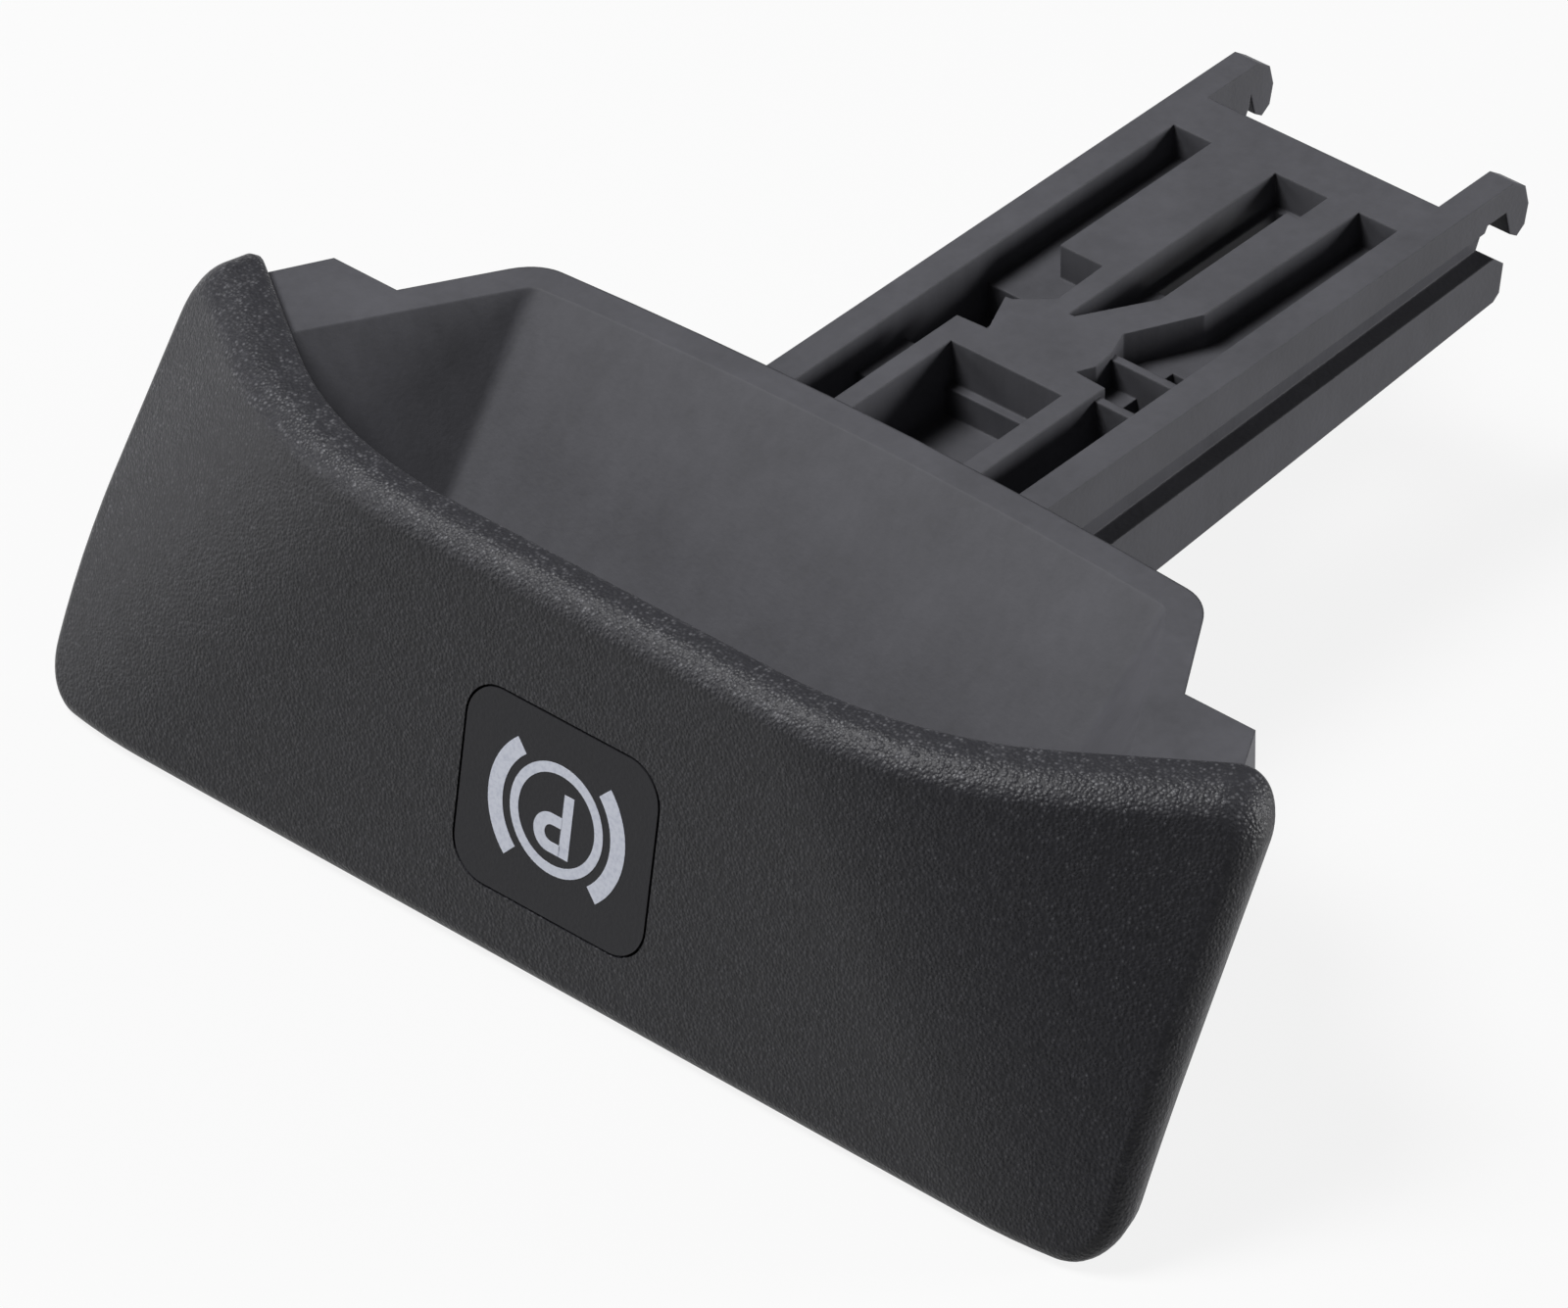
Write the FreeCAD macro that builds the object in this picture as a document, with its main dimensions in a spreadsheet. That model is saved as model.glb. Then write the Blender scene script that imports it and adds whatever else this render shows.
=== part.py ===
import FreeCAD, Part
import math
import os
import Sketcher

# Release handle for a parking brake: a moulded finger scoop on a slide tongue,
# with a grained cover on its front and a small insert let into the cover.
# Millimetres. X across the handle, Y from the face back along the tongue, Z up.
# The scoop opens upwards. Heights below are measured from the scoop's rim.

doc = FreeCAD.newDocument("release_handle")
sheet = doc.addObject("Spreadsheet::Sheet", "Sizes")

# Driving dimensions
SIZES = (
    # face of the cover
    ("face_half_top", 60.5),
    ("face_half_bottom", 62.0),
    ("face_top", 1.8),
    ("face_bottom", -35.0),
    ("face_depth_top", 24.9),
    ("face_depth_bottom", 32.1),
    ("end_sweep", 17.1),
    ("crease_half_top", 35.0),
    ("crease_half_bottom", 64.0),
    ("crease_round", 38.0),
    ("face_thickness", 4.8),
    ("low_corner", 6.0),
    ("high_corner", 4.5),
    ("skin", 2.2),
    ("rim_round", 1.7),
    ("side_draft", 0.28),
    ("edge_round", 2.4),
    # insert in the cover
    ("insert_half_width", 10.8),
    ("insert_top", -9.4),
    ("insert_bottom", -27.8),
    ("insert_corner", 3.6),
    ("insert_thickness", 1.4),
    ("insert_seat_gap", 0.25),
    # finger scoop
    ("scoop_back", 8.1),
    ("scoop_back_bow", 1.5),
    ("scoop_back_half", 35.8),
    ("scoop_flare", 0.61),
    ("scoop_back_slope", 0.95),
    ("scoop_side_draw", 0.14),
    ("scoop_depth", 29.5),
    ("scoop_corner", 2.0),
    ("scoop_outer_corner", 6.0),
    ("scoop_floor_corner", 3.0),
    ("scoop_outer_floor_corner", 3.6),
    ("back_wall", 2.9),
    ("side_wall", 3.2),
    ("floor_wall", 2.0),
    # ears beside the scoop
    ("ear_half_width", 52.0),
    ("ear_thickness", 5.2),
    ("ear_flare", 0.55),
    # slide tongue
    ("tongue_half_width", 16.05),
    ("deck_drop", 3.7),
    ("bar_front", 66.9),
    ("bar_back", 72.1),
    ("root_depth", 18.4),
    ("root_bottom_end", 30.0),
    ("tip_depth", 15.1),
    ("groove_root_top", 8.9),
    ("groove_tip_top", 6.9),
    ("groove_root_low", 13.2),
    ("groove_tip_low", 10.4),
    ("web_inside", 12.8),
    ("web_outside", 14.0),
    ("horn_inside", 13.2),
    ("horn_end", 81.3),
    ("beak_end", 77.9),
    ("mouth_end", 75.0),
    ("floor_drop", 3.5),
    ("floor_thickness", 1.5),
    ("spine_half_width", 8.4),
    ("neck_half_width", 5.0),
    ("neck_start", 32.4),
    ("neck_end", 39.8),
    ("fork_start", 46.2),
    ("pocket_half_width", 6.3),
    ("pocket_back", 29.2),
    ("deep_drop", 3.8),
    ("ledge_height", 2.9),
    ("ledge_depth", 0.9),
    ("cable_slot_left", 1.1),
    ("cable_slot_right", 3.6),
    ("cable_slot_start", 38.8),
    ("cable_slot_wide", 4.9),
    ("eyelet_width", 3.4),
    ("eyelet_centre", 1.2),
    ("eyelet_start", 50.0),
    ("eyelet_end", 66.2),
    ("deep_start", 30.5),
    ("deep_end", 41.5),
    ("left_well_end", 24.0),
    ("rib_thickness", 0.8),
    ("rib_drop", 0.6),
    ("first_rib", 31.0),
    ("second_rib", 36.6),
    # origin: on the middle line of the rail grooves, in the plane of the ears' backs
    ("slide_line_drop", 9.0),
)
for row, (alias, value) in enumerate(SIZES, start=1):
    sheet.set(f"A{row}", alias)
    sheet.set(f"B{row}", str(value))
    sheet.setAlias(f"B{row}", alias)
doc.recompute()
size = {alias: float(sheet.get(alias)) for alias, value in SIZES}


def vec(x, y, z=0.0):
    return FreeCAD.Vector(x, y, z)


# The face leans forward at its foot. A flat in the middle meets a flat at each end along a
# slanting crease, and the creases are rounded with a large radius.

top, bottom = size["face_top"], size["face_bottom"]
overrun = 3.0
far_back = 25.0
far_front = -60.0
crease_high = vec(size["crease_half_top"], -size["face_depth_top"], top)
crease_low = vec(size["crease_half_bottom"], -size["face_depth_bottom"], bottom)
end_high = vec(size["face_half_top"], size["end_sweep"] - size["face_depth_top"], top)
middle_normal = vec(1, 0).cross(crease_high - crease_low).normalize()
end_normal = (end_high - crease_high).cross(crease_high - crease_low).normalize()


def flip(point):
    return vec(-point.x, point.y, point.z)


def outside_of(point, normal):
    """Large block that lies on the outer side of a plane."""
    block = Part.makeBox(500, 500, 200, vec(-250, -250, 0))
    block.Placement = FreeCAD.Placement(point, FreeCAD.Rotation(vec(0, 0, 1), normal))
    return block


def behind_face(inset):
    """Everything behind the face surface moved back by inset."""
    reach = 90.0
    block = Part.makeBox(2 * reach, far_back - far_front, top - bottom + 2 * overrun,
                         vec(-reach, far_front, bottom - overrun))
    block = block.cut(outside_of(crease_low - middle_normal * inset, middle_normal))
    end_point = crease_low - end_normal * inset
    block = block.cut(outside_of(end_point, end_normal))
    block = block.cut(outside_of(flip(end_point), flip(end_normal)))
    creases = []
    for edge in block.Edges:
        box = edge.BoundBox
        slanting = box.XMax - box.XMin > 1.0 and box.ZMax - box.ZMin > (top - bottom) / 2
        if slanting and box.YMax < 0 and box.XMin * box.XMax > 0:
            creases.append(edge)
    return block.makeFillet(size["crease_round"] - inset, creases).Solids[0]


def round_outline(y, half_low, half_high, low, high, low_corner, high_corner):
    """Outline with rounded corners in the X and Z plane at a depth y."""
    corners = (
        (vec(half_low, y, low), low_corner),
        (vec(half_high, y, high), high_corner),
        (vec(-half_high, y, high), high_corner),
        (vec(-half_low, y, low), low_corner),
    )
    arcs = []
    for i, (corner, r) in enumerate(corners):
        before = (corners[i - 1][0] - corner).normalize()
        after = (corners[(i + 1) % 4][0] - corner).normalize()
        half_angle = before.getAngle(after) / 2
        reach = r / math.tan(half_angle)
        middle = corner + (before + after).normalize() * (r / math.sin(half_angle) - r)
        arcs.append(Part.Arc(corner + before * reach, middle, corner + after * reach))
    lines = [Part.LineSegment(arcs[i].EndPoint, arcs[(i + 1) % 4].StartPoint) for i in range(4)]
    edges = []
    for arc, line in zip(arcs, lines):
        edges += [arc.toShape(), line.toShape()]
    return Part.Wire(edges)


def panel_block(inset, high):
    """Outline of the cover moved in by inset, its sides drawing together towards the back."""
    wires = []
    for y in (far_front, far_back):
        half_high = size["face_half_top"] - size["side_draft"] * (y - end_high.y) - inset
        half_low = size["face_half_bottom"] - size["side_draft"] * (y - crease_low.y) - inset
        wires.append(round_outline(y, half_low, half_high, bottom + inset, high,
                                   size["low_corner"] - inset, size["high_corner"] - inset))
    return Part.makeLoft(wires, True, True)


def points_on(edge):
    """Five points along an edge, its ends among them."""
    span = edge.LastParameter - edge.FirstParameter
    return [edge.valueAt(edge.FirstParameter + share * span) for share in (0.0, 0.25, 0.5, 0.75, 1.0)]


def rounded(solid, sharp, radius, passes):
    """Round sharp edges as a row of narrow flats; each pass halves the turn from flat to flat."""
    ridge = Part.Compound(sharp)
    turn = math.pi / 2
    edges = sharp
    for _ in range(passes):
        cut = radius * (math.tan(turn / 2) - math.tan(turn / 4))
        solid = solid.makeChamfer(cut, edges).Solids[0]
        turn /= 2
        edges = []
        for edge in solid.Edges:
            away = [ridge.distToShape(Part.Vertex(point))[0] for point in points_on(edge)]
            if max(away) < radius and max(away) - min(away) < cut / 2 and edge.Length > cut:
                edges.append(edge)
    return solid


def rim_edges(solid, surface):
    """Edges of the outline of a panel that lie on a surface."""
    found = []
    for edge in solid.Edges:
        if edge.BoundBox.ZMax - edge.BoundBox.ZMin < top - bottom - overrun:
            if all(surface.distToShape(Part.Vertex(point))[0] < 0.01 for point in points_on(edge)):
                found.append(edge)
    return found


# Cover: a skin that follows the face, open at the back, with a lip over the rim of the scoop

front_block = behind_face(0.0)
rear_block = behind_face(size["face_thickness"])
panel = panel_block(0.0, top)
slab = front_block.cut(rear_block).common(panel).Solids[0]
slab = rounded(slab, rim_edges(slab, front_block.Shells[0]), size["edge_round"], 3)
slab = rounded(slab, rim_edges(slab, rear_block.Shells[0]), size["rim_round"], 2)

skin = size["skin"]
inside_panel = panel_block(skin, 0.0)
skin_block = behind_face(skin)
core = skin_block.common(inside_panel).Solids[0]
shell = slab.cut(core).Solids[0]

# Scoop: sloping back and sides, open at the top, closed in front by the plate behind the cover


def scoop_wire(z, wall, side):
    """Outline of the scoop at height z, its back moved out by wall and its sides by side."""
    depth = -z
    back = size["scoop_back"] - size["scoop_back_slope"] * depth + wall
    flare = size["scoop_flare"]
    half = size["scoop_back_half"] - size["scoop_side_draw"] * depth
    half += side * (1 + flare * flare) ** 0.5 - flare * wall
    front_half = half + flare * (back - far_front)
    corners = [vec(-front_half, far_front, z), vec(-half, back, z),
               vec(half, back, z), vec(front_half, far_front, z)]
    bow = vec(0, back + size["scoop_back_bow"], z)
    edges = [
        Part.LineSegment(corners[0], corners[1]),
        Part.Arc(corners[1], bow, corners[2]),
        Part.LineSegment(corners[2], corners[3]),
        Part.LineSegment(corners[3], corners[0]),
    ]
    return Part.Wire([edge.toShape() for edge in edges])


def scoop_block(high, low, wall, side, corner):
    """Tapered block with rounded upright corners, and the edges of its floor."""
    block = Part.makeLoft([scoop_wire(high, wall, side), scoop_wire(low, wall, side)], True, True)
    upright = []
    for edge in block.Edges:
        box = edge.BoundBox
        if box.ZMax - box.ZMin > (high - low) / 2 and box.YMax > far_front / 2:
            upright.append(edge)
    block = block.makeFillet(corner, upright).Solids[0]
    floor = [e for e in block.Edges if e.BoundBox.ZMax < low + 0.01 and e.BoundBox.YMax > far_front / 2]
    return block, floor


outer_low = -size["scoop_depth"] - size["floor_wall"]
bowl, floor_edges = scoop_block(0.0, outer_low, size["back_wall"], size["side_wall"],
                                size["scoop_outer_corner"])
bowl = rounded(bowl, floor_edges, size["scoop_outer_floor_corner"], 2).common(core)
hollow, floor_edges = scoop_block(overrun, -size["scoop_depth"], 0.0, 0.0, size["scoop_corner"])
hollow = hollow.makeFillet(size["scoop_floor_corner"], floor_edges).common(rear_block).Solids[0]
front_plate = skin_block.cut(rear_block).common(inside_panel)

ear_reach = 12.0
ear_outline = [
    vec(size["scoop_back_half"], 0),
    vec(size["ear_half_width"], 0),
    vec(size["ear_half_width"] + size["ear_flare"] * ear_reach, -ear_reach),
    vec(size["ear_half_width"] + size["ear_flare"] * ear_reach, -2 * ear_reach),
    vec(size["scoop_back_half"], -2 * ear_reach),
]
ear = Part.Face(Part.makePolygon(ear_outline + ear_outline[:1]))
ear = ear.extrude(vec(0, 0, -size["ear_thickness"])).common(core)
other_ear = ear.mirror(vec(0, 0), vec(1, 0))


# Insert: a small plate let into the front of the cover, flush with the face

insert_back = behind_face(size["insert_thickness"])


def insert_block(gap, front):
    side = size["insert_half_width"] + gap
    corner = size["insert_corner"] + gap
    outline = round_outline(far_front, side, side, size["insert_bottom"] - gap,
                            size["insert_top"] + gap, corner, corner)
    edge_panel = Part.Face(outline).extrude(vec(0, -far_front))
    return front.cut(insert_back).common(edge_panel)


symbol_insert = insert_block(0.0, front_block).Solids[0]
seat = insert_block(size["insert_seat_gap"], behind_face(-overrun))
face_cover = shell.cut(seat).Solids[0]

# Tongue: side rails open outwards, a forked middle for the cable and a bar at the far end

tongue = doc.addObject("PartDesign::Body", "Tongue")


def plane_of(body, role):
    return next(feature for feature in body.Origin.OriginFeatures if feature.Role == role)


def profile(name, role, level, points):
    """Sketch of a closed polygon on an origin plane, each corner held by two expressions."""
    sketch = tongue.newObject("Sketcher::SketchObject", name)
    sketch.AttachmentSupport = [(plane_of(tongue, role), "")]
    sketch.MapMode = "FlatFace"
    sketch.setExpression(".AttachmentOffset.Base.z", level)
    count = len(points)
    for i in range(count):
        sketch.addGeometry(Part.LineSegment(vec(i, i * i), vec(i + 1, (i + 1) * (i + 1))))
    for i in range(count):
        sketch.addConstraint(Sketcher.Constraint("Coincident", i, 2, (i + 1) % count, 1))
    for i, (across, up) in enumerate(points):
        for kind, expression in (("DistanceX", across), ("DistanceY", up)):
            number = sketch.addConstraint(Sketcher.Constraint(kind, -1, 1, i, 1, 1.0 + i))
            sketch.setExpression(f"Constraints[{number}]", expression)
    return sketch


def feature(kind, sketch, length, midplane=False):
    made = tongue.newObject("PartDesign::" + kind, sketch.Name + kind)
    made.Profile = sketch
    made.setExpression("Length", length)
    made.Midplane = midplane
    sketch.Visibility = False
    return made


S = "Sizes."
DECK = f"-{S}deck_drop"
FLOOR = f"-{S}deck_drop - {S}floor_drop"
ALL = "-20"
wall_middle = f"{S}scoop_back + {S}back_wall / 2 - {S}scoop_back_slope * "
spine, web = f"{S}spine_half_width", f"{S}web_inside"

side_profile = profile("Side", "YZ_Plane", "0", [
    (wall_middle + f"{S}deck_drop", DECK),
    (f"{S}horn_end - 2", DECK),
    (f"{S}horn_end - 0.5", f"{DECK} - 1.1"),
    (f"{S}horn_end", f"{DECK} - 3.2"),
    (f"{S}horn_end - 0.5", f"{DECK} - 5.2"),
    (f"{S}horn_end - 1.6", f"{DECK} - 5.9"),
    (f"{S}horn_end - 2.6", f"{DECK} - 5.2"),
    (f"{S}horn_end - 3.2", f"{DECK} - 2.6"),
    (f"{S}mouth_end + 0.5", f"{DECK} - 2.6"),
    (f"{S}mouth_end", f"{DECK} - 3.4"),
    (f"{S}mouth_end + 0.2", f"{DECK} - 5.2"),
    (f"{S}mouth_end + 1.5", f"-{S}groove_tip_low"),
    (f"{S}beak_end", f"-{S}groove_tip_low - 1.2"),
    (f"{S}beak_end - 0.5", f"-{S}tip_depth + 0.6"),
    (f"{S}beak_end - 1.3", f"-{S}tip_depth"),
    (f"{S}root_bottom_end", f"-{S}root_depth"),
    (wall_middle + f"{S}root_depth", f"-{S}root_depth"),
])
feature("Pad", side_profile, f"2 * {S}tongue_half_width", midplane=True)

mouth_web = profile("MouthWeb", "YZ_Plane", "0", [
    (f"{S}mouth_end - 1", f"{DECK} - 2"),
    (f"{S}horn_end - 3", f"{DECK} - 2"),
    (f"{S}horn_end - 3.4", f"{DECK} - 4"),
    (f"{S}horn_end - 4.2", f"{DECK} - 5.5"),
    (f"{S}mouth_end + 1", f"-{S}groove_tip_low - 1"),
    (f"{S}mouth_end - 1", f"-{S}groove_tip_low - 1"),
])
feature("Pad", mouth_web, f"2 * {S}web_outside", midplane=True)

# The underside is a channel between the rails, deeper behind the neck

under = profile("Under", "YZ_Plane", "0", [
    (ALL, f"-{S}root_depth - 1"),
    (ALL, f"{FLOOR} - {S}deep_drop - {S}floor_thickness"),
    (f"{S}fork_start - 2", f"{FLOOR} - {S}deep_drop - {S}floor_thickness"),
    (f"{S}fork_start", f"{FLOOR} - {S}floor_thickness"),
    (f"{S}horn_end + 5", f"{FLOOR} - {S}floor_thickness"),
    (f"{S}horn_end + 5", f"-{S}root_depth - 1"),
])
feature("Pocket", under, f"2 * {web}", midplane=True)

end_gap = profile("EndGap", "YZ_Plane", "0", [
    (f"{S}bar_back", "1"),
    (f"{S}horn_end + 5", "1"),
    (f"{S}horn_end + 5", f"-{S}root_depth - 1"),
    (f"{S}bar_back", f"-{S}root_depth - 1"),
])
feature("Pocket", end_gap, f"2 * {S}horn_inside", midplane=True)

groove = profile("Groove", "YZ_Plane", f"{S}tongue_half_width + 1", [
    (wall_middle + f"{S}root_depth", f"-{S}groove_root_top"),
    (f"{S}mouth_end + 0.6", f"-{S}groove_tip_top"),
    (f"{S}mouth_end + 2", f"-{S}groove_tip_low"),
    (wall_middle + f"{S}root_depth", f"-{S}groove_root_low"),
])
one_groove = feature("Pocket", groove, f"{S}tongue_half_width + 1 - {S}web_outside")
doc.recompute()
both_grooves = tongue.newObject("PartDesign::Mirrored", "BothGrooves")
both_grooves.Originals = [one_groove]
both_grooves.MirrorPlane = (plane_of(tongue, "YZ_Plane"), [""])
tongue.Tip = both_grooves
doc.recompute()

# Openings in the deck: a gap beside each rail, the cable slot and the pocket behind the scoop

left_gap = profile("LeftGap", "XY_Plane", DECK, [
    (f"-{web}", ALL),
    (f"-{spine}", ALL),
    (f"-{spine}", f"{S}neck_start"),
    (f"-{S}neck_half_width", f"{S}neck_start + 0.2"),
    (f"-{S}neck_half_width - 2", f"{S}neck_start + 4.8"),
    (f"-{S}neck_half_width - 1.3", f"{S}neck_start + 4.9"),
    (f"-{S}neck_half_width + 1.7", f"{S}neck_end + 0.2"),
    (f"-{S}neck_half_width + 1.5", f"{S}fork_start"),
    (f"-{spine}", f"{S}fork_start"),
    (f"-{spine}", f"{S}bar_front"),
    (f"-{web}", f"{S}bar_front"),
])
feature("Pocket", left_gap, f"{S}floor_drop")

right_gap = profile("RightGap", "XY_Plane", DECK, [
    (web, ALL),
    (spine, ALL),
    (spine, f"{S}neck_start"),
    (f"{S}neck_half_width", f"{S}neck_start + 0.2"),
    (f"{S}neck_half_width + 0.8", f"{S}neck_start + 1.9"),
    (f"{S}neck_half_width + 0.5", f"{S}neck_start + 4.5"),
    (f"{S}neck_half_width - 0.5", f"{S}neck_end - 0.3"),
    (f"{spine} - 0.4", f"{S}fork_start"),
    (spine, f"{S}bar_front"),
    (web, f"{S}bar_front"),
])
feature("Pocket", right_gap, f"{S}floor_drop")

cable_slot = profile("CableSlot", "XY_Plane", DECK, [
    (f"-{S}cable_slot_left", f"{S}cable_slot_start"),
    (f"-{S}cable_slot_left + 0.6", f"{S}cable_slot_start"),
    (f"{S}cable_slot_right", f"{S}fork_start - 0.6"),
    (f"{S}cable_slot_right", f"{S}bar_front - 4.1"),
    (f"{S}cable_slot_wide", f"{S}bar_front - 4.1"),
    (f"{S}cable_slot_wide", f"{S}bar_front"),
    (f"-{S}cable_slot_left", f"{S}bar_front"),
])
feature("Pocket", cable_slot, f"{S}floor_drop")


def deck_box(name, left, right, front, back, level, depth):
    """Rectangular cut downwards from a level of the tongue."""
    corners = [(left, front), (right, front), (right, back), (left, back)]
    return feature("Pocket", profile(name, "XY_Plane", level, corners), depth)


pocket = f"{S}pocket_half_width"
deck_box("PocketTop", f"-{pocket}", pocket, ALL, f"{S}pocket_back",
         DECK, f"{S}floor_drop + {S}deep_drop - {S}ledge_height")
deck_box("PocketLow", f"-{pocket}", pocket, ALL, f"{S}pocket_back - {S}ledge_depth",
         DECK, f"{S}floor_drop + {S}deep_drop")
deck_box("LeftFront", f"-{web}", f"-{spine}", ALL, f"{S}left_well_end", FLOOR, f"{S}deep_drop")
deck_box("LeftDeep", f"-{web}", f"-{spine}", f"{S}deep_start", f"{S}deep_end", FLOOR, f"{S}deep_drop")
deck_box("RightFront", spine, web, ALL, f"{S}first_rib", FLOOR, f"{S}deep_drop")
deck_box("RightMiddle", spine, web, f"{S}first_rib + {S}rib_thickness", f"{S}second_rib",
         FLOOR, f"{S}deep_drop")
deck_box("RightDeep", spine, web, f"{S}second_rib + {S}rib_thickness", f"{S}deep_end",
         FLOOR, f"{S}deep_drop")
eyelet_left = f"{S}eyelet_centre - {S}eyelet_width / 2"
eyelet_right = f"{S}eyelet_centre + {S}eyelet_width / 2"
deck_box("Eyelet", eyelet_left, eyelet_right, f"{S}eyelet_start", f"{S}eyelet_end",
         FLOOR, f"{S}floor_thickness + 1")


def rib(name, front):
    """Thin wall across the right gap, a little lower than the deck."""
    corners = [(f"{S}neck_half_width - 1", front), (f"{web} + 0.5", front),
               (f"{web} + 0.5", f"{front} + {S}rib_thickness"),
               (f"{S}neck_half_width - 1", f"{front} + {S}rib_thickness")]
    low = f"{FLOOR} - {S}deep_drop"
    height = f"{S}floor_drop + {S}deep_drop - {S}rib_drop"
    return feature("Pad", profile(name, "XY_Plane", low, corners), height)


rib("FirstRib", f"{S}first_rib")
rib("SecondRib", f"{S}second_rib")
doc.recompute()

# Carrier: scoop, plate, ears and tongue are one moulding

carrier = bowl.multiFuse([front_plate, ear, other_ear, tongue.Shape]).cut(hollow)
handle_carrier = carrier.Solids[0].removeSplitter()

lift = FreeCAD.Placement(vec(0, 0, size["slide_line_drop"]), FreeCAD.Rotation())
os.makedirs("parts", exist_ok=True)
for label, solid in (
    ("handle_carrier", handle_carrier),
    ("face_cover", face_cover),
    ("symbol_insert", symbol_insert),
):
    part = doc.addObject("Part::Feature", label)
    part.Label = label
    part.Shape = solid
    part.Placement = lift
doc.recompute()

for item in doc.Objects:
    if "Invalid" in item.State or "Error" in item.State:
        raise RuntimeError(f"{item.Name} failed to build")
for label in ("handle_carrier", "face_cover", "symbol_insert"):
    shape = doc.getObject(label).Shape
    if shape.isNull() or not shape.isValid() or len(shape.Solids) != 1:
        raise RuntimeError(f"{label} is not one valid solid")
    print(label, round(shape.Volume), len(shape.Faces), shape.BoundBox)
    shape.exportStep(f"parts/{label}.step")
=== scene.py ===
import math

import bmesh
import bpy
from mathutils import Matrix, Vector


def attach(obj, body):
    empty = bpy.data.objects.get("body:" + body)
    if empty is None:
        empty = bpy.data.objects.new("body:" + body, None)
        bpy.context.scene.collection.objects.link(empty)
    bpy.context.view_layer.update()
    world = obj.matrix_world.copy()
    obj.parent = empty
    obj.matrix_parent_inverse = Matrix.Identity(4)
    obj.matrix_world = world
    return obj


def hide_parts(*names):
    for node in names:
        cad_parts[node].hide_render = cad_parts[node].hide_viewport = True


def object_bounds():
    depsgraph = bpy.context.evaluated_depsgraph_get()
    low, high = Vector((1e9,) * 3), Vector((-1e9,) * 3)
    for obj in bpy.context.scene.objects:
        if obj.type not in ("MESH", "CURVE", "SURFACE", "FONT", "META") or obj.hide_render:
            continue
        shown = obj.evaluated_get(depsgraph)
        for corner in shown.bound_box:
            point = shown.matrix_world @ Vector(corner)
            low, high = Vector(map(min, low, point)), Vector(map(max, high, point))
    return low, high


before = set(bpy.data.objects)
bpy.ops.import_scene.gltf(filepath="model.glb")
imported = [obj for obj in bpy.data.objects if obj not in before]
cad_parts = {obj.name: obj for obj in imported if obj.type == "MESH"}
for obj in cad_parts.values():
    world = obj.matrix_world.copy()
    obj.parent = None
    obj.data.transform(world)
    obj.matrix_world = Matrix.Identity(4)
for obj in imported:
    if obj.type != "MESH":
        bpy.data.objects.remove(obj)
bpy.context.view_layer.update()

scene = bpy.context.scene

# Carrier: one moulding in dark grey glass-filled nylon, scoop, ears and slide tongue together.
# It comes from a satin tool, so it is smooth, with faint clouds and upright flow streaks. It is
# the CAD solid's own mesh, joined so that its roundings shade smoothly.

clouds_per_metre = 120.0  # about 8 mm across
streaks_per_metre = (900.0, 900.0, 60.0)  # about 1 mm across and 17 mm high
streak_turn = math.radians(46)  # turns the noise inside the streaks, which stay upright
satin_per_metre = 2200.0  # about 0.45 mm across, drawn a little coarse so that it shows
moulded_edge = 0.0003  # metres of radius, because moulded edges are never sharp
carrier_crease = 24  # degrees; edges sharper than this stay sharp


def linear(hex_colour):
    """sRGB hex value as linear red, green, blue and alpha."""
    channels = [int(hex_colour[i:i + 2], 16) / 255 for i in (1, 3, 5)]
    straight = [c / 12.92 if c <= 0.04045 else ((c + 0.055) / 1.055) ** 2.4 for c in channels]
    return straight + [1.0]


def add_node(tree, kind, settings=None, inputs=None):
    """A node with its settings; inputs takes a value or the socket that feeds it."""
    node = tree.nodes.new(kind)
    for name, value in (settings or {}).items():
        setattr(node, name, value)
    for name, value in (inputs or {}).items():
        if isinstance(value, bpy.types.NodeSocket):
            tree.links.new(value, node.inputs[name])
        else:
            node.inputs[name].default_value = value
    return node


def new_material(name):
    """An empty node material and its node tree."""
    material = bpy.data.materials.new(name)
    material.use_nodes = True
    material.node_tree.nodes.clear()
    return material, material.node_tree


def smooth_copy(node, name, crease):
    """A CAD piece as one joined mesh, smooth over its roundings and sharp past the crease."""
    weld = 1e-6
    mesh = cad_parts[node].data.copy()
    mesh.name = name
    shape = bmesh.new()
    shape.from_mesh(mesh)
    bmesh.ops.remove_doubles(shape, verts=shape.verts, dist=weld)
    for face in shape.faces:
        face.smooth = True
    limit = math.radians(crease)
    for edge in shape.edges:
        edge.smooth = len(edge.link_faces) == 2 and edge.calc_face_angle() < limit
    shape.to_mesh(mesh)
    shape.free()
    mesh.materials.clear()
    piece = bpy.data.objects.new(name, mesh)
    scene.collection.objects.link(piece)
    weighted = piece.modifiers.new("weighted_normals", "WEIGHTED_NORMAL")
    weighted.keep_sharp = True
    return piece


carrier_material, tree = new_material("satin_moulded_nylon")
place = add_node(tree, "ShaderNodeTexCoord").outputs["Object"]
mottle = add_node(tree, "ShaderNodeTexNoise", inputs={
    "Vector": place, "Scale": clouds_per_metre, "Detail": 4.0, "Roughness": 0.55})
stretch = add_node(tree, "ShaderNodeMapping", inputs={
    "Vector": place, "Rotation": (streak_turn, 0, 0), "Scale": streaks_per_metre})
streaks = add_node(tree, "ShaderNodeTexNoise", inputs={
    "Vector": stretch.outputs["Vector"], "Scale": 1.0, "Detail": 3.0, "Roughness": 0.6})
tone = add_node(tree, "ShaderNodeMix", {"data_type": "FLOAT"}, {
    "Factor": 0.35, "A": mottle.outputs["Fac"], "B": streaks.outputs["Fac"]})
colour = add_node(tree, "ShaderNodeValToRGB", inputs={"Fac": tone.outputs["Result"]})
colour.color_ramp.elements[0].position = 0.3
colour.color_ramp.elements[0].color = linear("#4f4f53")
colour.color_ramp.elements[1].position = 0.7
colour.color_ramp.elements[1].color = linear("#5b5b60")
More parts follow.
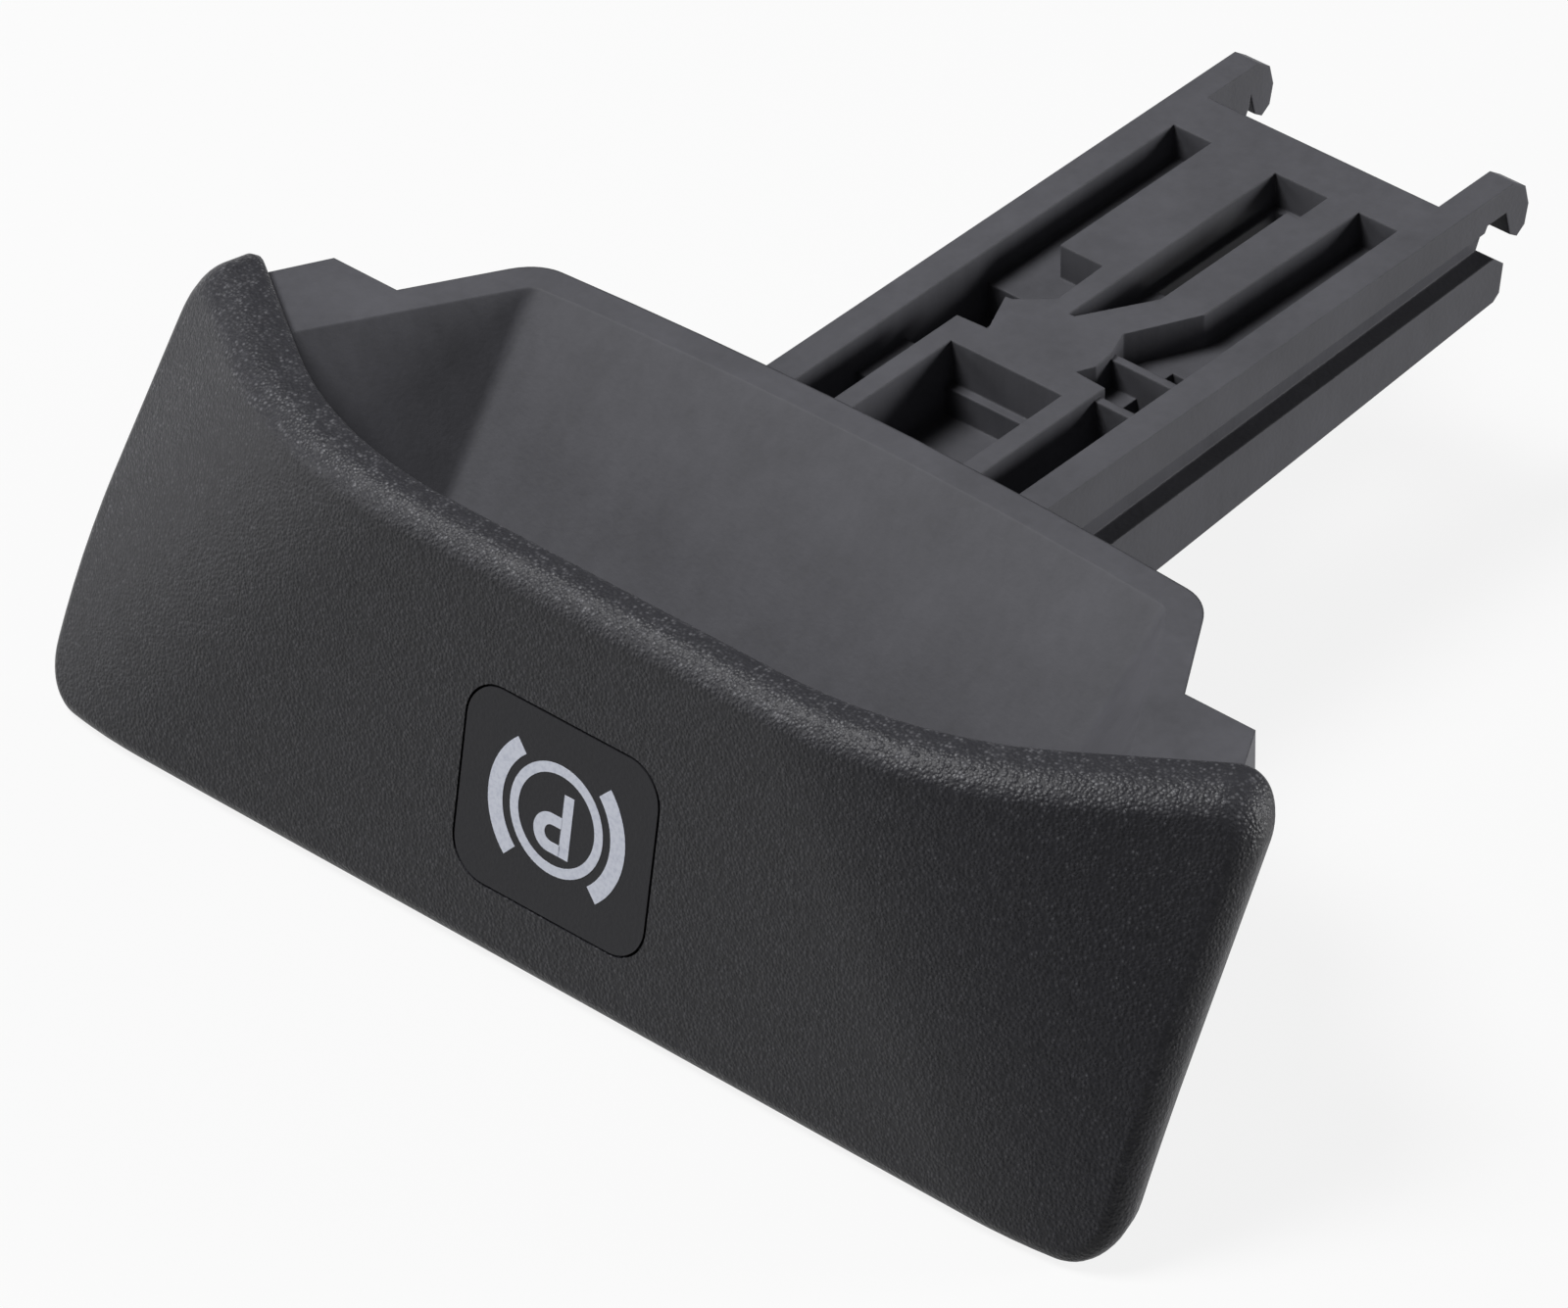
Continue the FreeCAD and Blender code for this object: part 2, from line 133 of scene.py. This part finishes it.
grain = add_node(tree, "ShaderNodeTexNoise", inputs={
    "Vector": place, "Scale": satin_per_metre, "Detail": 2.0})
soft_edges = add_node(tree, "ShaderNodeBevel", {"samples": 6}, {"Radius": moulded_edge})
bump = add_node(tree, "ShaderNodeBump", inputs={
    "Strength": 0.12, "Distance": 0.0002, "Height": grain.outputs["Fac"],
    "Normal": soft_edges.outputs["Normal"]})
rough = add_node(tree, "ShaderNodeMapRange", inputs={
    "Value": streaks.outputs["Fac"], "To Min": 0.46, "To Max": 0.6})
shader = add_node(tree, "ShaderNodeBsdfPrincipled", inputs={
    "Base Color": colour.outputs["Color"], "Roughness": rough.outputs["Result"],
    "IOR": 1.5, "Specular IOR Level": 0.15, "Normal": bump.outputs["Normal"]})
add_node(tree, "ShaderNodeOutputMaterial", inputs={"Surface": shader.outputs["BSDF"]})

carrier = smooth_copy("handle_carrier", "carrier_moulding", carrier_crease)
carrier.data.materials.append(carrier_material)
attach(carrier, "root")
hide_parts("handle_carrier")

# Cover: black polypropylene moulded in a grained tool, so the light breaks into fine sparkles,
# with painted glints on a few grain tops.
# It wraps the front plate and ends in a rounded lip over the rim of the scoop. Where its surface
# faces up, mostly on the lip, its colour is painted paler as a sheen.

grain_per_metre = 3000.0  # tops of the grain 0.33 mm apart
grain_depth = 0.00015  # metres
fine_per_metre = 5200.0  # roughness on the tops, about 0.2 mm
cover_clouds_per_metre = 700.0  # about 1.4 mm across
cover_crease = 34  # degrees

cover_material, tree = new_material("grained_black_polypropylene")
coordinates = add_node(tree, "ShaderNodeTexCoord")
place = coordinates.outputs["Object"]
# each top of the grain is a small dome, and a few of them are painted paler as glints and made
# smoother
cells = add_node(tree, "ShaderNodeTexVoronoi", inputs={
    "Vector": place, "Scale": grain_per_metre})
dome = add_node(tree, "ShaderNodeMapRange", inputs={
    "Value": cells.outputs["Distance"], "From Max": 0.7, "To Min": 1.0, "To Max": 0.0})
chance = add_node(tree, "ShaderNodeSeparateColor", inputs={"Color": cells.outputs["Color"]})
rare = add_node(tree, "ShaderNodeMath", {"operation": "POWER"}, {
    0: chance.outputs["Red"], 1: 2.5})
glint_and_gloss_speck = add_node(tree, "ShaderNodeMath", {"operation": "MULTIPLY"}, {
    0: rare.outputs[0], 1: dome.outputs["Result"]})
fine = add_node(tree, "ShaderNodeTexNoise", inputs={
    "Vector": place, "Scale": fine_per_metre, "Detail": 2.0})
height = add_node(tree, "ShaderNodeMix", {"data_type": "FLOAT"}, {
    "Factor": 0.3, "A": dome.outputs["Result"], "B": fine.outputs["Fac"]})
bump = add_node(tree, "ShaderNodeBump", inputs={
    "Strength": 0.6, "Distance": grain_depth, "Height": height.outputs["Result"]})
mottle = add_node(tree, "ShaderNodeTexNoise", inputs={
    "Vector": place, "Scale": cover_clouds_per_metre, "Detail": 4.0, "Roughness": 0.7})
# the cover's tone mixes random clouds with the painted glints of the grain tops
tone = add_node(tree, "ShaderNodeMix", {"data_type": "FLOAT"}, {
    "Factor": 0.55, "A": mottle.outputs["Fac"], "B": glint_and_gloss_speck.outputs[0]})
# painted sheen: the colour is made paler where the surface faces up, as if lit from above
facing = add_node(tree, "ShaderNodeSeparateXYZ", inputs={"Vector": coordinates.outputs["Normal"]})
painted_sheen = add_node(tree, "ShaderNodeMapRange", inputs={
    "Value": facing.outputs["Z"], "From Min": 0.25, "From Max": 0.7, "To Max": 0.38})
tone_and_painted_sheen = add_node(tree, "ShaderNodeMath", {"operation": "ADD"}, {
    0: tone.outputs["Result"], 1: painted_sheen.outputs["Result"]})
colour = add_node(tree, "ShaderNodeValToRGB", inputs={"Fac": tone_and_painted_sheen.outputs[0]})
# the colours past 0.65 are reached only through the painted glints and the painted sheen
colour.color_ramp.elements.new(1.0).color = linear("#66666a")
colour.color_ramp.elements[0].position = 0.1
colour.color_ramp.elements[0].color = linear("#1d1d20")
colour.color_ramp.elements[1].position = 0.65
colour.color_ramp.elements[1].color = linear("#37373b")
rough = add_node(tree, "ShaderNodeMapRange", inputs={
    "Value": glint_and_gloss_speck.outputs[0], "To Min": 0.44, "To Max": 0.3})
shader = add_node(tree, "ShaderNodeBsdfPrincipled", inputs={
    "Base Color": colour.outputs["Color"], "Roughness": rough.outputs["Result"],
    "IOR": 1.49, "Specular IOR Level": 0.27, "Normal": bump.outputs["Normal"]})
add_node(tree, "ShaderNodeOutputMaterial", inputs={"Surface": shader.outputs["BSDF"]})

cover = smooth_copy("face_cover", "cover_moulding", cover_crease)
cover.data.materials.append(cover_material)
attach(cover, "root")
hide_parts("face_cover")

# Insert: a small plate of the same black plastic from a finer tool, pressed into its seat.
# It looks a shade smoother than the cover, with a fine dark line all round.

etch_per_metre = 3000.0  # about 0.33 mm across, coarser than the real etch so that it shows

insert_material, tree = new_material("fine_etched_black_plastic")
place = add_node(tree, "ShaderNodeTexCoord").outputs["Object"]
fine = add_node(tree, "ShaderNodeTexNoise", inputs={
    "Vector": place, "Scale": etch_per_metre, "Detail": 3.0})
bump = add_node(tree, "ShaderNodeBump", inputs={
    "Strength": 0.18, "Distance": 0.0002, "Height": fine.outputs["Fac"]})
colour = add_node(tree, "ShaderNodeValToRGB", inputs={"Fac": fine.outputs["Fac"]})
colour.color_ramp.elements[0].color = linear("#28282b")
colour.color_ramp.elements[1].color = linear("#303033")
shader = add_node(tree, "ShaderNodeBsdfPrincipled", inputs={
    "Base Color": colour.outputs["Color"], "Roughness": 0.5,
    "IOR": 1.49, "Specular IOR Level": 0.2, "Normal": bump.outputs["Normal"]})
add_node(tree, "ShaderNodeOutputMaterial", inputs={"Surface": shader.outputs["BSDF"]})

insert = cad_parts["symbol_insert"]
insert.data.materials.clear()
insert.data.materials.append(insert_material)

# Sign: the usual parking brake mark, a P in a ring between two brackets, in pale pad print.
# It stands upside down here because the handle lies turned over, as in the photo. All its sizes
# are in millimetres from the middle of the ring, and its angles in degrees.

ring_inner, ring_outer = 4.3, 5.25
bracket_inner, bracket_outer = 6.1, 7.75
left_bracket, right_bracket = (131, 227), (-48, 45)
stem_left, stem_right = 0.62, 1.72
letter_foot, letter_head = 2.75, -3.25
bowl_root, bowl_level = 0.7, -1.4
bowl_inner, bowl_outer = 0.8, 1.85
bowl_inner_centre, bowl_outer_centre = -0.35, -0.55
ring_steps, bracket_steps, bowl_steps = 72, 24, 20
ink_back, ink_front = -0.02, 0.03
ink_per_metre = 2500.0  # unevenness of the print, about 0.4 mm across

print_material, tree = new_material("pale_grey_pad_print")
place = add_node(tree, "ShaderNodeTexCoord").outputs["Object"]
ink_cover = add_node(tree, "ShaderNodeTexNoise", inputs={
    "Vector": place, "Scale": ink_per_metre, "Detail": 3.0})
colour = add_node(tree, "ShaderNodeValToRGB", inputs={"Fac": ink_cover.outputs["Fac"]})
colour.color_ramp.elements[0].position = 0.25
colour.color_ramp.elements[0].color = linear("#ccd1e0")
colour.color_ramp.elements[1].position = 0.55
colour.color_ramp.elements[1].color = linear("#e0e4f0")
shader = add_node(tree, "ShaderNodeBsdfPrincipled", inputs={
    "Base Color": colour.outputs["Color"], "Roughness": 0.6, "Specular IOR Level": 0.3})
add_node(tree, "ShaderNodeOutputMaterial", inputs={"Surface": shader.outputs["BSDF"]})


def arc_strip(inner, outer, start, stop, steps):
    """Pairs of points along an arc of a ring; radii in millimetres and angles in degrees."""
    pairs = []
    for i in range(steps + 1):
        angle = math.radians(start + (stop - start) * i / steps)
        way = Vector((math.cos(angle), math.sin(angle)))
        pairs.append((way * inner, way * outer))
    return pairs


def bowl_pairs(steps):
    """The bowl of the P: two flat runs from the stem, joined by a half round on the left."""
    pairs = [(Vector((bowl_root, bowl_level + bowl_inner)),
              Vector((bowl_root, bowl_level + bowl_outer)))]
    for i in range(steps + 1):
        angle = math.radians(90 + 180 * i / steps)
        way = Vector((math.cos(angle), math.sin(angle)))
        pairs.append((Vector((bowl_inner_centre, bowl_level)) + way * bowl_inner,
                      Vector((bowl_outer_centre, bowl_level)) + way * bowl_outer))
    pairs.append((Vector((bowl_root, bowl_level - bowl_inner)),
                  Vector((bowl_root, bowl_level - bowl_outer))))
    return pairs


strips = [
    arc_strip(ring_inner, ring_outer, 0, 360, ring_steps),
    arc_strip(bracket_inner, bracket_outer, *left_bracket, bracket_steps),
    arc_strip(bracket_inner, bracket_outer, *right_bracket, bracket_steps),
    [(Vector((stem_left, end)), Vector((stem_right, end))) for end in (letter_foot, letter_head)],
    bowl_pairs(bowl_steps),
]
# the middle of the ring in the part's frame, on the insert's front, which leans back
centre = Vector((0.12, -28.87, -9.45))
across = Vector((1, 0, 0))
upward = Vector((0, 0.192, 0.9814))
outward = Vector((0, -0.9814, 0.192))
points, faces = [], []
for strip in strips:
    first = len(points)
    for pair in strip:
        for depth in (ink_back, ink_front):
            for flat in pair:
                spot = centre + across * flat.x + upward * flat.y + outward * depth
                points.append(spot / 1000)
    for i in range(first, len(points) - 4, 4):
        for a, b in ((0, 1), (1, 3), (3, 2), (2, 0)):
            faces.append((i + a, i + b, i + 4 + b, i + 4 + a))
    last = len(points) - 4
    # the ring meets itself, and every other strip gets its two ends
    if (points[last] - points[first]).length > 1e-6:
        faces += [(first, first + 2, first + 3, first + 1),
                  (last, last + 1, last + 3, last + 2)]
mesh = bpy.data.meshes.new("parking_brake_sign")
mesh.from_pydata(points, [], faces)
shape = bmesh.new()
shape.from_mesh(mesh)
bmesh.ops.remove_doubles(shape, verts=shape.verts, dist=1e-7)
bmesh.ops.recalc_face_normals(shape, faces=shape.faces)
shape.to_mesh(mesh)
shape.free()
sign = bpy.data.objects.new("parking_brake_sign", mesh)
scene.collection.objects.link(sign)
sign.data.materials.append(print_material)
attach(sign, "root")

# Floor: a plain sheet of matt white paper under the handle, wide enough to fill the view.
# The camera sees it nearly white, and it keeps a faint shadow of the handle.

reach = 4.0  # metres from the middle to each side
share_of_white = 0.86

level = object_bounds()[0][2]
corners = [(x, y, level)
           for x, y in ((-reach, -reach), (reach, -reach), (reach, reach), (-reach, reach))]
mesh = bpy.data.meshes.new("floor")
mesh.from_pydata(corners, [], [(0, 1, 2, 3)])
floor = bpy.data.objects.new("floor", mesh)
scene.collection.objects.link(floor)
paper, tree = new_material("matt_white_paper")
ray = add_node(tree, "ShaderNodeLightPath")
seen = add_node(tree, "ShaderNodeMath", {"operation": "MAXIMUM"}, {
    0: ray.outputs["Is Camera Ray"], 1: ray.outputs["Is Glossy Ray"]})
lit = add_node(tree, "ShaderNodeBsdfDiffuse", inputs={"Color": linear("#d8d8d8")})
glow = add_node(tree, "ShaderNodeEmission", inputs={
    "Color": linear("#ffffff"), "Strength": seen.outputs[0]})
mixed = add_node(tree, "ShaderNodeMixShader", inputs={
    0: share_of_white, 1: lit.outputs[0], 2: glow.outputs[0]})
add_node(tree, "ShaderNodeOutputMaterial", inputs={"Surface": mixed.outputs[0]})
floor.data.materials.append(paper)

# World: dim even surroundings in a plain room.
# They are weak, so that the soft box shapes the handle.

world = bpy.data.worlds.new("grey_room")
scene.world = world
world.use_nodes = True
tree = world.node_tree
tree.nodes.clear()
air = add_node(tree, "ShaderNodeBackground", inputs={
    "Color": linear("#ffffff"), "Strength": 0.04})
add_node(tree, "ShaderNodeOutputWorld", inputs={"Surface": air.outputs["Background"]})

# Lamps: a soft box high to the left, a weak fill low at the left end of the face, and a low
# lamp behind on the right that lights the side of the tongue. Each row has the lamp's place and
# side in metres and its power in watts, and each lamp looks at the origin.

for name, spot, size, power in (
    ("soft_box", (-0.46, -0.32, 1.15), 0.5, 16.0),
    ("left_fill", (-0.98, -0.8, 0.3), 0.6, 5.0),
    ("back_fill", (0.95, 0.9, 0.2), 0.4, 13.0),
):
    lamp = bpy.data.lights.new(name, "AREA")
    lamp.shape = "SQUARE"
    lamp.size = size
    lamp.energy = power
    lamp_object = bpy.data.objects.new(name, lamp)
    scene.collection.objects.link(lamp_object)
    lamp_object.location = Vector(spot)
    lamp_object.rotation_euler = (-Vector(spot)).to_track_quat("-Z", "Y").to_euler()

# Camera: a long lens at about 0.9 m, above and to the right of the face, as in the photo.
# Its place and axes, in the part's frame, come from the lines of the handle in the photo.

scene.view_settings.view_transform = "Standard"
lens = bpy.data.cameras.new("camera")
lens.sensor_fit = "HORIZONTAL"
lens.sensor_width = 36.0
lens.lens = 241.4  # millimetres, found with the place
lens.clip_start = 0.05
lens.clip_end = 50.0
camera = bpy.data.objects.new("camera", lens)
scene.collection.objects.link(camera)
right = Vector((0.74674, 0.66485, -0.01884))
up = Vector((-0.39124, 0.46199, 0.79593))
back = Vector((0.53787, -0.58698, 0.60510))
eye = Vector((0.4827, -0.5268, 0.5343))
camera.matrix_world = Matrix((
    (right.x, up.x, back.x, eye.x),
    (right.y, up.y, back.y, eye.y),
    (right.z, up.z, back.z, eye.z),
    (0, 0, 0, 1),
))
scene.camera = camera
